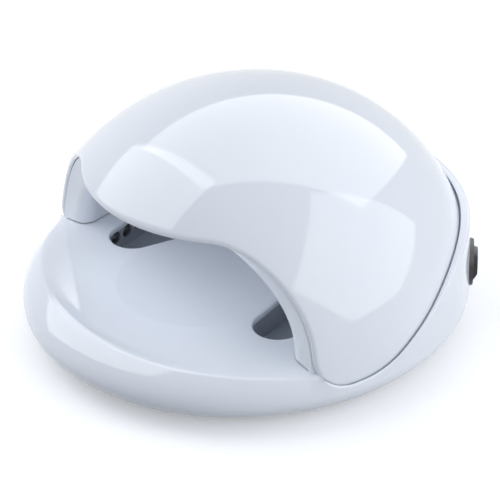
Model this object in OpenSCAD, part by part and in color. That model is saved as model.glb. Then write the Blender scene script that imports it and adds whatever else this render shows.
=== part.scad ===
// LED nail lamp: a domed hood over a round tray base, with an arched hand tunnel.
// The origin is on the table under the middle of the base. +Z is up and -Y is the open front.

/* [Base] */
// Width of the base at its waist
base_w = 200; // [194:1:206]
// Depth of the base at its waist, front to rear
base_d = 212.4; // [206:0.2:218]
// Height of the waist above the table
waist_z = 15; // [13:0.5:17]
// Height that the round flank would close at over its waist
flank_rise = 27; // [25:0.5:29]
// Height of the tray over the table
tray_z = 27; // [25.5:0.5:28.5]
// Thickness of the tray deck
deck = 2.5; // [2:0.1:3.5]
// Shrink of the collar from the waist to its rear top
collar_draft = 0.985; // [0.98:0.001:0.995]
// Land between the palm dimple in the tray and the thumb wells
dimple_gap = 2.7; // [2:0.1:9]
// Depth of the palm dimple
dimple_depth = 2; // [1:0.1:2.2]

/* [Hood] */
// Step from the side of the base's waist in to the widest ring of the dome
hood_side_step = 2.1; // [1.5:0.1:4]
// Step from the end radius of the base's waist to that of the dome
hood_end_step = 1.2; // [0.5:0.1:3]
// Height of the widest ring of the dome
hood_waist_z = 20.2; // [19:0.1:22]
// Height of the crown over the table
hood_top = 111.4; // [106:0.1:118]
// Wall of the hood shell and of the base
wall = 2.5; // [2:0.1:3]
// Height of the visor edge over the table
visor_z = 82; // [80:0.5:86]
// Radius that joins the riser of the opening to the visor edge
visor_r = 28; // [22:1:32]
// Distance of the opening riser in front of the middle
riser_y = 38.4; // [36:0.2:42]
// Lowest height of the seam between hood and base
seam_low = 18; // [17:0.5:20]
// Height of the seam round the rear
seam_top = 51; // [48:0.5:54]
// Slope of the seam along the sides, in degrees
seam_slope = 27.5; // [24:0.5:30]
// Depth that the hood reaches into the groove of the base
lap = 3; // [2:0.1:4]

/* [Tunnel] */
// Space between the side of the dome and the hand tunnel, at the tray
tunnel_side_space = 23.9; // [22:0.1:28]
// Step from the end radius of the dome to that of the tunnel
tunnel_end_step = 25; // [23:0.5:31]
// Full height of the tunnel dome over the tray
tunnel_h = 50; // [46:0.5:51]
// Distance of the tunnel centre in front of the middle
tunnel_y = 16.4; // [12:0.2:20]
// Height of the flat light window over the tray
window_h = 43.5; // [38:0.5:44]
// Radius of the rounded mouth edge at the legs
mouth_r = 7.5; // [5:0.5:9]
// Wall of the liner
liner_wall = 2; // [1.6:0.1:2.5]

/* [Thumb wells] */
// Distance between the side of the tunnel and the axis of each thumb well
well_side_space = 23.3; // [22:0.1:26]
// Distance of the narrow end in front of the middle
well_front_y = 26.8; // [24:0.2:30]
// Radius of the narrow end
well_r1 = 11; // [9:0.5:12]
// Radius of the wide end
well_r2 = 16; // [14:0.5:17]
// Length between the centres of the two ends
well_len = 20.4; // [18:0.2:24]
// Depth of a well under the deck
well_depth = 11; // [9:0.5:12]
// Spacing of the thumb emitters
thumb_pitch = 9; // [8:0.5:9.5]
// Diameter of a thumb emitter
thumb_led_d = 6.4; // [5:0.1:6.8]

/* [Switch and inlet] */
// Direction that the switch faces, from the rear towards the right
switch_az = 45; // [40:1:50]
// Height of the switch and inlet axes
panel_z = 25.6; // [24:0.2:27]
// Diameter of the switch bezel
bezel_d = 23; // [22:0.5:24]
// Diameter of the switch barrel
barrel_d = 20; // [19:0.5:21]
// Height that the raised rocker half stands over its seat in the base
rocker_h = 4.2; // [3.5:0.1:4.5]
// Full throw of the rocker, in degrees
rocker_throw = 24; // [18:1:26]
// Diameter of the inlet thread
inlet_d = 11; // [10:0.5:12]
// Diameter of the inlet pin
inlet_pin_d = 2; // [1.6:0.1:2.5]

/* [Fixings] */
// Height of the rubber feet under the bottom plate
foot_h = 2; // [1.5:0.1:3]
// Diameter of a rubber foot
foot_d = 12; // [10:0.5:14]
// Thickness of the bottom plate
plate = 2.5; // [2:0.1:3]
// Diameter of the screw shanks
screw_d = 3; // [2.5:0.1:3]
// Diameter of the bosses that take the screws
boss_d = 8; // [7:0.5:9]
// Clearance between moulded pieces
gap = 0.3; // [0.2:0.05:0.4]
// Thickness of a circuit board
board_t = 1.6; // [1.2:0.1:2]

/* [Hidden] */
$fn = 72;
eps = 0.01;
far = 150;

base_r = [base_w / 2, base_d / 2];
hood_y = 0.9;
hood_r = [base_r[0] - hood_side_step, base_r[1] - hood_end_step, hood_top - hood_waist_z];
foot_r = 15;
seam_low_r = 55;
seam_high_r = 115;
collar_front_y = -36;
collar_h = seam_top - waist_z + 5;
fence = 2.5;
tunnel_w = hood_r[0] - tunnel_side_space;
tunnel_d = hood_r[1] - tunnel_end_step;
well_x = tunnel_w - well_side_space;
dimple_r = well_x - well_r1 - dimple_gap;
plate_z = foot_h;
plate_top = plate_z + plate;
deck_z = tray_z - deck;
inner_flank = [base_r[0] - wall, base_r[1] - wall, flank_rise - wall];
opening_s = sqrt(1 - pow((waist_z - plate_z) / inner_flank[2], 2));
plate_r = [inner_flank[0] * opening_s - gap, inner_flank[1] * opening_s - gap];
dimple_y = -tunnel_y - 14;
liner_z = tray_z + gap;
liner_set = 0.6;
window_z = tray_z + window_h;
screw_hole_d = screw_d + 0.4;
pilot_d = screw_d + 0.1;
screw_head_d = 2 * screw_d;
screw_head_h = 0.7 * screw_d;
screw_sink = 1;
bottom_screw_l = 10;
hood_screw_l = 15;
liner_screw_l = 11;
liner_boss_h = liner_screw_l + 1;

// Places of the screws and feet, on the plan.
bottom_side = base_r[0] - 26;
bottom_rear = base_r[1] - 34.2;
bottom_screw_places = [
    [0, 28.2 - base_r[1]], [bottom_side, 12], [-bottom_side, 12], [34, bottom_rear], [-34, bottom_rear]];
hood_side_in = hood_r[0] - 12.4;
hood_rear_in = hood_y + hood_r[1] - 17.9;
hood_screw_places = [[hood_side_in, 0], [-hood_side_in, 0], [22, hood_rear_in], [-22, hood_rear_in]];
liner_screw_out = 4.5;
liner_screw_places = [for (a = [0, 40, 140, 180])
    [(tunnel_w + liner_screw_out) * cos(a), (tunnel_d + liner_screw_out) * sin(a) - tunnel_y]];
foot_in = [base_r[0] - 48, base_r[1] - 52.2];
foot_places = [for (x = [-1, 1], y = [-1, 1]) [x * foot_in[0], y * foot_in[1]]];

// Ceiling light unit
lamp_y = -6;
lamp_w = 90;
lamp_l = 66;
lamp_post = [38, 26];
lamp_post_d = 6;
lamp_screw_bite = 6;
lamp_z = window_z + 9;
lens_r = [32, 24];
lens_t = 2;
lens_seat = 1;
lens_ledge = 3;
led_rows = 3;
led_cols = 5;
led_pitch = 12.5;
led_size = 5;
led_t = 1.2;
sink_t = 2.4;
fin_n = 9;
fin_pitch = 7.5;
fin_h = 8;
fin_t = 1.4;
fin_l = 44;

// Thumb wells
well_wall = 1.5;
well_flange = 3;
well_flange_t = 1.6;
well_bite = 1.7;
well_ear_d = 7;
thumb_board_out = 4;
thumb_board_l = 30;
thumb_rail_t = 1.6;
thumb_led_body = 2.2;

// Control board
ctrl_w = 60;
ctrl_l = 50;
ctrl_rear_space = 64.2;
ctrl_y = base_r[1] - ctrl_rear_space;
ctrl_z = plate_top + 4.5;
ctrl_inset = 4;
ctrl_top = ctrl_z + board_t;
ctrl_rear = ctrl_y + ctrl_l / 2 - 1;
control_screw_bite = 5;
chip_size = [10, 8, 1.8];
capacitor_d = 8;
capacitor_h = 11.5;
coil_d = 13;
coil_h = 8;
coil_bore = 5;
coil_floor = 1;
connector_size = [8, 6, 6];
connector_wall = 1;

// Switch
bezel_t = 2.3;
aperture_r = barrel_d / 2 - 0.7;
rocker_r = aperture_r - 1.1;
pivot_z = -3;
barrel_l = 15;
blade_l = 8;
blade = [6.3, 0.8];
panel_t = 2.5;
switch_set = 1.3;
rocker_pin_r = 1.2;
pin_clear = 0.05;

// Inlet
inlet_set = 2;
inlet_flange_d = inlet_d + 3;
inlet_flange_t = 1.5;
inlet_l = 13;
inlet_bore_d = 6.2;
inlet_bore_l = 9;
nut_af = 14;
nut_t = 2.5;

// Cable
cable_d = 4;
cable_space = 12.4;
cable_y = tunnel_d - tunnel_y + cable_space;
cable_low_r = 8;
cable_high_r = 24;

white = [0.90, 0.93, 0.97];
grey = [0.40, 0.41, 0.44];
black = [0.10, 0.10, 0.11];
copper = [0.80, 0.52, 0.30];
steel = [0.72, 0.73, 0.75];
board_green = [0.12, 0.38, 0.22];
warm = [0.93, 0.88, 0.62];

// Points on an arc in the plane, from angle a0 to a1.
function arc(c, r, a0, a1, n = 12) =
    [for (i = [0:n]) c + r * [cos(a0 + (a1 - a0) * i / n), sin(a0 + (a1 - a0) * i / n)]];

// Side view of the seam, front to rear, moved towards the hood by o and set back in front by front.
function seam_side(o = 0, front = 0) = concat(
    [for (p = arc([0, 0], 1, 180, 270))
        [foot_r - riser_y + p[0] * (foot_r - front), seam_low + foot_r + p[1] * (foot_r - o)]],
    arc([2 + foot_r - riser_y, seam_low + seam_low_r], seam_low_r - o, 270, 270 + seam_slope),
    arc(seam_rear_centre(), seam_high_r + o, 90 + seam_slope, 90),
    [[far, seam_top + o]]);

// Centre of the arc that levels the seam off, where the sloped stretch runs into it.
function seam_rear_centre() =
    let (low = [2 + foot_r - riser_y + seam_low_r * sin(seam_slope),
                seam_low + seam_low_r * (1 - cos(seam_slope))],
         rise = seam_top - seam_high_r * (1 - cos(seam_slope)) - low[1],
         run = rise / tan(seam_slope))
    [low[0] + run + seam_high_r * sin(seam_slope), seam_top - seam_high_r];

// Side view of the opening, set back by o: visor edge and riser.
function opening_side(o = 0) = concat(
    [[far, 2 * far], [-far, 2 * far], [-far, visor_z + o]],
    arc([-riser_y - visor_r, visor_z - visor_r], visor_r + o, 90, 0));

// Side view of the hood, which ends at the seam, and of the liner, which ends on the tray.
function hood_side(o, front = 0) = concat(opening_side(front), seam_side(o, front));
function liner_side(o = 0) = concat(opening_side(o), [[o - riser_y, 0], [far, 0]]);

// A side view outline carried across the whole width.
module across(points) {
    rotate([90, 0, 90]) translate([0, 0, -far]) linear_extrude(2 * far) polygon(points);
}

// Everything between two heights.
module slab(z0, z1) {
    translate([-far, -far, z0]) cube([2 * far, 2 * far, z1 - z0]);
}

// Round bodies start their turn at the open front.
module ellipsoid(r) {
    scale(r) rotate([0, 0, -90]) sphere(r = 1);
}

// An elliptic disc whose top is drawn in to a share of its foot.
module disc(r, h, draft = 1) {
    scale([r[0], r[1], 1]) rotate([0, 0, -90]) cylinder(r1 = 1, r2 = draft, h = h);
}

// The dome of the hood, grown by o on every side.
module dome(o = 0) {
    translate([0, hood_y, hood_waist_z]) ellipsoid([hood_r[0] + o, hood_r[1] + o, hood_r[2] + o]);
}

// The hand tunnel, grown by o.
module tunnel(o = 0) {
    translate([0, -tunnel_y, tray_z]) ellipsoid([tunnel_w + o, tunnel_d + o, tunnel_h + o]);
}

module at_places(places, z) {
    for (p = places) translate([p[0], p[1], z]) children();
}

// A pan head screw with its head under z = 0 and its shank up.
module screw(l) {
    translate([0, 0, -screw_head_h]) cylinder(d = screw_head_d, h = screw_head_h);
    translate([0, 0, -eps]) cylinder(d = screw_d, h = l + eps);
}

// Point of the waist outline that faces a direction.
function rim_point(az) =
    let (reach = norm([base_r[0] * sin(az), base_r[1] * cos(az)]))
    [pow(base_r[0], 2) * sin(az), pow(base_r[1], 2) * cos(az)] / reach;

// Frame at the rim, set back by set: z out of the panel, x along it and y down.
module at_rim(az, set) {
    translate([rim_point(az)[0], rim_point(az)[1], panel_z]) rotate([0, 0, -az])
        translate([0, -set, 0]) rotate([-90, 0, 0]) children();
}

module at_switch() {
    at_rim(switch_az, switch_set) children();
}

module at_inlet() {
    at_rim(0, inlet_set) children();
}

// Outline of a thumb well, grown by o: two round ends and their tangents.
well_lean = asin((well_r2 - well_r1) / well_len);
function well_tangent(r, y, side) = [well_x + side * r * cos(well_lean), y - r * sin(well_lean)];
module well_outline(o = 0) {
    polygon(concat(
        arc([well_x, well_len - well_front_y], well_r2 + o, -well_lean, 180 + well_lean, 18),
        arc([well_x, -well_front_y], well_r1 + o, 180 + well_lean, 360 - well_lean, 12)));
}

// Frame on the outer wall of the right well: x out of the well, y along its wall.
led_height = tray_z - 6;
module at_thumb_row() {
    mid = (well_tangent(well_r1, -well_front_y, 1) + well_tangent(well_r2, well_len - well_front_y, 1)) / 2;
    translate([mid[0], mid[1], led_height]) rotate([0, 0, -well_lean]) children();
}

module both_sides() {
    children();
    mirror([1, 0, 0]) children();
}

/* Base */

module base_outer() {
    intersection() {
        translate([0, 0, waist_z]) ellipsoid([base_r[0], base_r[1], flank_rise]);
        slab(plate_z, tray_z);
    }
    intersection() {
        translate([0, 0, waist_z]) disc(base_r, collar_h, collar_draft);
        across(concat([[far, plate_z], [collar_front_y, plate_z]],
            [for (p = seam_side()) if (p[0] > collar_front_y) p]));
    }
}

// Groove that takes the edge of the hood shell.
module hood_groove() {
    intersection() {
        difference() {
            dome(gap);
            dome(-wall - gap);
        }
        across(hood_side(-lap - gap, -gap));
    }
}

module base_hollow() {
    intersection() {
        translate([0, 0, waist_z]) ellipsoid(inner_flank);
        slab(plate_z + 1, deck_z);
    }
    translate([0, 0, plate_z - eps]) disc([plate_r[0] + gap, plate_r[1] + gap], plate + 1);
    intersection() {
        dome(-wall - gap - fence);
        slab(tray_z, far);
    }
}

module base_bosses() {
    at_places(bottom_screw_places, plate_top) cylinder(d = boss_d, h = deck_z - plate_top + eps);
}

// Shallow round dimple under the palm, grown by o.
module dimple(o = 0) {
    ball = (pow(dimple_r, 2) + pow(dimple_depth, 2)) / (2 * dimple_depth);
    translate([0, dimple_y, tray_z - dimple_depth + ball]) sphere(r = ball + o, $fn = 180);
}

module base_housing() {
    color(white) difference() {
        union() {
            difference() {
                base_outer();
                base_hollow();
                hood_groove();
            }
            base_bosses();
            intersection() {
                dimple(deck);
                translate([0, dimple_y, deck_z - 4]) cylinder(r = dimple_r - 8, h = 4 + eps);
            }
        }
        dimple();
        // thumb wells
        both_sides() translate([0, 0, deck_z - 1]) linear_extrude(deck + 2) well_outline();
        // switch: barrel hole, flat outside seat and room inside
        at_switch() {
            translate([0, 0, -panel_t - 1]) cylinder(d = barrel_d + 2 * gap, h = panel_t + 2);
            cylinder(d = bezel_d + 2 * gap, h = 10);
            translate([0, 0, -panel_t - 25]) cylinder(d = bezel_d + 3, h = 25);
        }
        // inlet: thread hole, flange seat and room for the nut
        at_inlet() {
            translate([0, 0, -panel_t - 1]) cylinder(d = inlet_d + 2 * gap, h = panel_t + 2);
            cylinder(d = inlet_flange_d + 2 * gap, h = 10);
            translate([0, 0, -panel_t - 16]) cylinder(d = nut_af + 5, h = 16);
        }
        // screws up into the hood and liner, screws up into the bosses, and the cable hole
        at_places(hood_screw_places, deck_z - 1) cylinder(d = screw_hole_d, h = deck + 2);
        at_places(liner_screw_places, deck_z - 1) cylinder(d = screw_hole_d, h = deck + 2);
        at_places(bottom_screw_places, plate_top - 1) cylinder(d = pilot_d, h = bottom_screw_l + 3);
        both_sides() at_places(well_screw_places(), deck_z - 1) cylinder(d = pilot_d, h = 1 + well_bite + gap);
        translate([0, cable_y, deck_z - 1]) cylinder(d = 3 * cable_d, h = deck + 2);
    }
}

module bottom_plate() {
    slot_n = 9;
    slot_pitch = 6;
    slot = [2.4, 34];
    color(white) difference() {
        union() {
            translate([0, 0, plate_z]) disc(plate_r, plate);
            at_places(control_places(), plate_top - eps) cylinder(d = 6, h = ctrl_z - plate_top + eps);
        }
        at_places(foot_places, plate_z - eps) cylinder(d = foot_d + 2 * gap, h = 1);
        at_places(bottom_screw_places, plate_z - 1) cylinder(d = screw_hole_d, h = plate + 2);
        at_places(bottom_screw_places, plate_z - 1) cylinder(d = screw_head_d + 2 * gap, h = 1 + screw_sink);
        at_places(control_places(), plate_z + 1.2) cylinder(d = pilot_d, h = 10);
        for (i = [0:slot_n - 1])
            translate([(i - (slot_n - 1) / 2) * slot_pitch, ctrl_y, plate_z - 1]) vent_slot(slot, plate + 2);
    }
}

module vent_slot(size, h) {
    translate([-size[0] / 2, -size[1] / 2, 0]) cube([size[0], size[1], h]);
    for (s = [-1, 1]) translate([0, s * size[1] / 2, 0]) cylinder(d = size[0], h = h, $fn = 32);
}

module rubber_feet() {
    color(black) at_places(foot_places, 0) cylinder(d = foot_d, h = foot_h + 1 - 2 * eps);
}

module bottom_screws() {
    color(steel) at_places(bottom_screw_places, plate_z + screw_sink) screw(bottom_screw_l);
}

/* Hood */

module hood_bosses() {
    intersection() {
        at_places(hood_screw_places, liner_z) cylinder(d = boss_d, h = 60);
        dome(-wall / 2);
    }
}

module hood_shell() {
    color(white) difference() {
        union() {
            intersection() {
                difference() {
                    dome();
                    dome(-wall);
                }
                across(hood_side(-lap));
            }
            hood_bosses();
        }
        at_places(hood_screw_places, liner_z - 1) cylinder(d = pilot_d, h = hood_screw_l);
    }
}

module hood_screws() {
    color(steel) at_places(hood_screw_places, deck_z) screw(hood_screw_l);
}

module mouth_cut() {
    // bell mouth of the tunnel, squeezed to the height of the arch
    mouth_w = tunnel_w + mouth_r - 1.5;
    squeeze = (tunnel_h - 0.5) / mouth_w;
    translate([0, -riser_y, tray_z]) scale([1, 1, squeeze]) rotate([90, 0, 0]) {
        cylinder(r = mouth_w, h = 60);
        translate([0, 0, -mouth_r]) rotate_extrude() polygon(concat(
            [[0, 0], [mouth_w - mouth_r, 0]],
            arc([mouth_w, 0], mouth_r, 180, 90),
            [[0, mouth_r]]));
    }
}

// Everything over the tray, and in front of the collar everything over the flank.
module above_base() {
    difference() {
        slab(waist_z, far);
        intersection() {
            union() {
                translate([0, 0, waist_z])
                    ellipsoid([base_r[0] + gap, base_r[1] + gap, flank_rise + gap]);
                translate([-far, collar_front_y - gap, 0]) cube([2 * far, 2 * far, liner_z]);
            }
            slab(0, liner_z);
        }
    }
}

module hood_liner() {
    mouth_depth = mouth_r + 2;
    color(white) difference() {
        intersection() {
            union() {
                // front wall that follows the riser and the visor
                difference() {
                    across(liner_side(liner_set));
                    across(liner_side(liner_set + liner_wall));
                }
                // mouth ring and tunnel dome
                intersection() {
                    across(liner_side(liner_set + eps));
                    union() {
                        translate([0, mouth_depth - riser_y, tray_z]) rotate([90, 0, 0])
                            disc([tunnel_w + mouth_r, tunnel_h + 1], 40);
                        intersection() {
                            tunnel(liner_wall);
                            translate([-far, liner_set - riser_y, 0]) cube([2 * far, far, window_z + liner_wall]);
                        }
                        liner_bosses();
                        lamp_posts();
                    }
                }
            }
            dome(-wall - gap);
            above_base();
        }
        intersection() {
            tunnel();
            slab(0, window_z);
        }
        mouth_cut();
        translate([0, lamp_y, window_z - 1]) disc([lens_r[0] - lens_ledge, lens_r[1] - lens_ledge], 10);
        translate([0, lamp_y, window_z + liner_wall - lens_seat]) disc([lens_r[0] + gap, lens_r[1] + gap], 10);
        at_places(liner_screw_places, liner_z - 1) cylinder(d = pilot_d, h = liner_screw_l);
        at_places(lamp_places(), lamp_z - lamp_screw_bite - 2) cylinder(d = pilot_d, h = lamp_screw_bite + 3);
    }
}

module liner_bosses() {
    at_places(liner_screw_places, liner_z) cylinder(d = boss_d - 1, h = liner_boss_h);
}

module lamp_posts() {
    // the posts start inside the sloped wall
    root = window_z - 12;
    at_places(lamp_places(), root) cylinder(d = lamp_post_d, h = lamp_z - root);
}

module liner_screws() {
    color(steel) at_places(liner_screw_places, deck_z) screw(liner_screw_l);
}

/* Ceiling light */

function lamp_places() =
    [for (x = [-1, 1], y = [-1, 1]) [x * lamp_post[0], lamp_y + y * lamp_post[1]]];

function control_places() =
    [for (x = [-1, 1], y = [-1, 1])
        [x * (ctrl_w / 2 - ctrl_inset), ctrl_y + y * (ctrl_l / 2 - ctrl_inset)]];

module plate_box(w, l, t, r) {
    linear_extrude(t) {
        square([w - 2 * r, l], center = true);
        square([w, l - 2 * r], center = true);
        for (x = [-1, 1], y = [-1, 1]) translate([x * (w / 2 - r), y * (l / 2 - r)]) circle(r = r);
    }
}

module ceiling_lens() {
    color([0.85, 0.93, 1, 0.5]) translate([0, lamp_y, window_z + liner_wall - lens_seat]) disc(lens_r, lens_t);
}

module ceiling_board() {
    color("white") difference() {
        translate([0, lamp_y, lamp_z]) plate_box(lamp_w, lamp_l, board_t, 4);
        at_places(lamp_places(), lamp_z - 1) cylinder(d = screw_hole_d, h = board_t + 2);
    }
}

module ceiling_leds() {
    color(warm) for (i = [0:led_cols - 1], j = [0:led_rows - 1])
        translate([(i - (led_cols - 1) / 2) * led_pitch, lamp_y + (j - (led_rows - 1) / 2) * led_pitch, lamp_z])
            led_chip();
}

// A square emitter that looks down, with its round dome.
module led_chip() {
    translate([-led_size / 2, -led_size / 2, -led_t]) cube([led_size, led_size, led_t]);
    translate([0, 0, -led_t + 0.4]) intersection() {
        sphere(d = led_size - 1, $fn = 32);
        translate([-led_size, -led_size, -led_size]) cube([2 * led_size, 2 * led_size, led_size]);
    }
}

module heat_sink() {
    z = lamp_z + board_t;
    color(steel) difference() {
        union() {
            translate([0, lamp_y, z]) plate_box(lamp_w - 6, lamp_l - 6, sink_t, 3);
            for (i = [0:fin_n - 1])
                translate([(i - (fin_n - 1) / 2) * fin_pitch - fin_t / 2, lamp_y - fin_l / 2, z])
                    cube([fin_t, fin_l, sink_t + fin_h]);
        }
        at_places(lamp_places(), z - 1) cylinder(d = screw_hole_d, h = sink_t + 2);
    }
}

module ceiling_screws() {
    color(steel) at_places(lamp_places(), lamp_z + board_t + sink_t) mirror([0, 0, 1]) screw(board_t + sink_t + lamp_screw_bite);
}

/* Thumb lights */

module well_right() {
    top = deck_z;
    floor_z = deck_z - well_depth;
    ramp = 38;
    ramp_drop = 1;
    rail_y = (thumb_board_l - thumb_rail_t) / 2 - 1;
    difference() {
        union() {
            translate([0, 0, floor_z - well_wall]) linear_extrude(well_depth + well_wall) well_outline(well_wall);
            translate([0, 0, top - well_flange_t]) linear_extrude(well_flange_t) well_outline(well_flange);
            at_places(well_screw_places(), top - well_flange_t) cylinder(d = well_ear_d, h = well_flange_t);
            // rails that carry the emitter board
            at_thumb_row() for (s = [-1, 1])
                translate([0, s * rail_y - thumb_rail_t / 2, floor_z - led_height])
                    cube([thumb_board_out, thumb_rail_t, well_depth - well_flange_t + 1]);
        }
        // the well itself, with a sloped front end
        difference() {
            translate([0, 0, floor_z]) linear_extrude(well_depth + 2) well_outline();
            translate([0, -well_front_y - well_r1, top - ramp_drop]) rotate([-ramp, 0, 0])
                translate([0, -20, -30]) cube([2 * well_x, 60, 30]);
        }
        at_thumb_row() for (i = [-1, 0, 1]) translate([-4, i * thumb_pitch, 0])
            rotate([0, 90, 0]) cylinder(d = thumb_led_d + 0.5, h = 4 + thumb_board_out - 0.5);
        at_places(well_screw_places(), top - well_flange_t - 1) cylinder(d = screw_hole_d, h = well_flange_t + 2);
    }
}

function well_screw_places() = [[well_x - 14.8, -well_front_y - 5.8], [well_x - 3, well_len - well_front_y + 20.6]];

module thumb_well_left() {
    color(grey) mirror([1, 0, 0]) well_right();
}

module thumb_well_right() {
    color(grey) well_right();
}

module thumb_board() {
    at_thumb_row() translate([thumb_board_out, -thumb_board_l / 2, deck_z - well_depth - led_height])
        cube([board_t, thumb_board_l, well_depth - 2.5]);
}

module thumb_board_left() {
    color(board_green) mirror([1, 0, 0]) thumb_board();
}

module thumb_board_right() {
    color(board_green) thumb_board();
}

module thumb_leds() {
    at_thumb_row() for (i = [-1, 0, 1]) translate([thumb_board_out, i * thumb_pitch, 0]) rotate([0, -90, 0]) {
        cylinder(d = thumb_led_d, h = thumb_led_body);
        translate([0, 0, thumb_led_body]) intersection() {
            sphere(d = thumb_led_d - 0.6);
            cylinder(d = thumb_led_d, h = thumb_led_d);
        }
    }
}

module thumb_leds_left() {
    color(black) mirror([1, 0, 0]) thumb_leds();
}

module thumb_leds_right() {
    color(black) thumb_leds();
}

module well_screws() {
    color(steel) both_sides() at_places(well_screw_places(), deck_z - well_flange_t)
        screw(well_flange_t + well_bite);
}

/* Control electronics */

module control_board() {
    color(board_green) difference() {
        translate([0, ctrl_y, ctrl_z]) plate_box(ctrl_w, ctrl_l, board_t, 2);
        at_places(control_places(), ctrl_z - 1) cylinder(d = screw_hole_d, h = board_t + 2);
    }
}

module driver_chip() {
    color(black) translate([4, ctrl_y - 14, ctrl_top]) cube(chip_size);
}

module capacitors() {
    color([0.15, 0.2, 0.45]) for (x = [12, 22])
        translate([x, ctrl_y + 8, ctrl_top]) cylinder(d = capacitor_d, h = capacitor_h);
}

module power_coil() {
    color(copper) translate([-10, ctrl_y + 4, ctrl_top]) {
        difference() {
            cylinder(d = coil_d, h = coil_h);
            translate([0, 0, coil_floor]) cylinder(d = coil_bore, h = coil_h);
        }
    }
}

module board_connectors() {
    size = connector_size;
    front = ctrl_y - ctrl_l / 2 + 1;
    color("white") for (p = [[-16, front], [-5, front], [18, front], [0, ctrl_rear - size[1]]])
        translate([p[0] - size[0] / 2, p[1], ctrl_top]) difference() {
            cube(size);
            translate(connector_wall * [1, 1, 1])
                cube([size[0] - 2 * connector_wall, size[1] - 2 * connector_wall, size[2]]);
        }
}

module control_screws() {
    color(steel) at_places(control_places(), ctrl_top) mirror([0, 0, 1]) screw(board_t + control_screw_bite);
}

/* Switch */

module switch_body() {
    clip_w = 5;
    color(black) at_switch() difference() {
        union() {
            translate([0, 0, -barrel_l]) cylinder(d = barrel_d, h = barrel_l + eps);
            cylinder(d1 = bezel_d, d2 = bezel_d - 1.6, h = bezel_t);
            // snap clips behind the panel
            for (s = [-1, 1]) translate([-clip_w / 2, s * (barrel_d / 2 - 0.2) - (s > 0 ? 0 : 0.9), -panel_t - gap - 3])
                cube([clip_w, 0.9, 3]);
        }
        translate([0, 0, -8]) cylinder(r = aperture_r, h = 20);
        translate([0, 0, bezel_t - 0.8]) cylinder(r1 = aperture_r, r2 = aperture_r + 0.8, h = 0.81);
        translate([-20, 0, pivot_z]) rotate([0, 90, 0]) cylinder(r = rocker_pin_r + pin_clear, h = 40);
    }
}

module switch_rocker() {
    // The rocker is drawn level, then tipped by half its throw to the side it rests on.
    half = rocker_throw / 2;
    ridge = (rocker_h - pivot_z) / cos(half);
    color(black) at_switch() translate([0, 0, pivot_z]) rotate([-half, 0, 0]) {
        intersection() {
            translate([0, 0, -2]) cylinder(r = rocker_r, h = 20);
            rotate([90, 0, 90]) translate([0, 0, -20]) linear_extrude(40) polygon([
                [-20, -2], [20, -2], [20, ridge - 20 * tan(half)], [0, ridge], [-20, ridge - 20 * tan(half)]
            ]);
        }
        translate([-barrel_d / 2 + 0.2, 0, 0]) rotate([0, 90, 0])
            cylinder(r = rocker_pin_r, h = barrel_d - 0.4);
    }
}

module switch_blades() {
    color("gold") at_switch() for (s = [-1, 1])
        translate([-blade[0] / 2, s * 5 - blade[1] / 2, -barrel_l - blade_l]) cube([blade[0], blade[1], blade_l]);
}

/* Inlet */

module inlet_socket() {
    color(black) at_inlet() {
        difference() {
            union() {
                cylinder(d = inlet_flange_d, h = inlet_flange_t);
                translate([0, 0, -inlet_l]) cylinder(d = inlet_d, h = inlet_l + eps);
            }
            translate([0, 0, inlet_flange_t - inlet_bore_l]) cylinder(d = inlet_bore_d, h = inlet_bore_l + 1);
        }
        translate([0, 0, inlet_flange_t - inlet_bore_l - 1]) cylinder(d = inlet_pin_d, h = inlet_bore_l);
    }
}

module inlet_nut() {
    color(steel) at_inlet() translate([0, 0, -panel_t - nut_t]) difference() {
        cylinder(d = nut_af / cos(30), h = nut_t, $fn = 6);
        translate([0, 0, -1]) cylinder(d = inlet_d + 0.1, h = nut_t + 2);
    }
}

/* Cable from the control board up to the ceiling light */

module cable_bend(r) {
    // a quarter turn in the side plane, from rearward to upward
    rotate([0, 90, 0]) rotate_extrude(angle = 90) translate([r, 0]) circle(d = cable_d, $fn = 24);
}

module hood_cable() {
    start_y = ctrl_rear;
    low_z = ctrl_top + 3;
    high_z = lamp_z + board_t + cable_d / 2;
    end_y = lamp_y + lamp_l / 2 - 1;
    color(grey) {
        translate([0, start_y, low_z]) rotate([-90, 0, 0])
            cylinder(d = cable_d, h = cable_y - cable_low_r - start_y, $fn = 24);
        translate([0, cable_y - cable_low_r, low_z + cable_low_r]) cable_bend(cable_low_r);
        translate([0, cable_y, low_z + cable_low_r])
            cylinder(d = cable_d, h = high_z - cable_high_r - low_z - cable_low_r, $fn = 24);
        translate([0, cable_y - cable_high_r, high_z - cable_high_r]) rotate([90, 0, 0]) cable_bend(cable_high_r);
        translate([0, cable_y - cable_high_r, high_z]) rotate([90, 0, 0])
            cylinder(d = cable_d, h = cable_y - cable_high_r - end_y, $fn = 24);
    }
}

base_housing();
bottom_plate();
rubber_feet();
bottom_screws();
hood_shell();
hood_screws();
hood_liner();
liner_screws();
ceiling_lens();
ceiling_board();
ceiling_leds();
heat_sink();
ceiling_screws();
thumb_well_left();
thumb_well_right();
thumb_board_left();
thumb_board_right();
thumb_leds_left();
thumb_leds_right();
well_screws();
control_board();
driver_chip();
capacitors();
power_coil();
board_connectors();
control_screws();
switch_body();
switch_rocker();
switch_blades();
inlet_socket();
inlet_nut();
hood_cable();
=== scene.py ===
import math

import bmesh
import bpy
import numpy as np
from mathutils import Matrix, Vector


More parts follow.
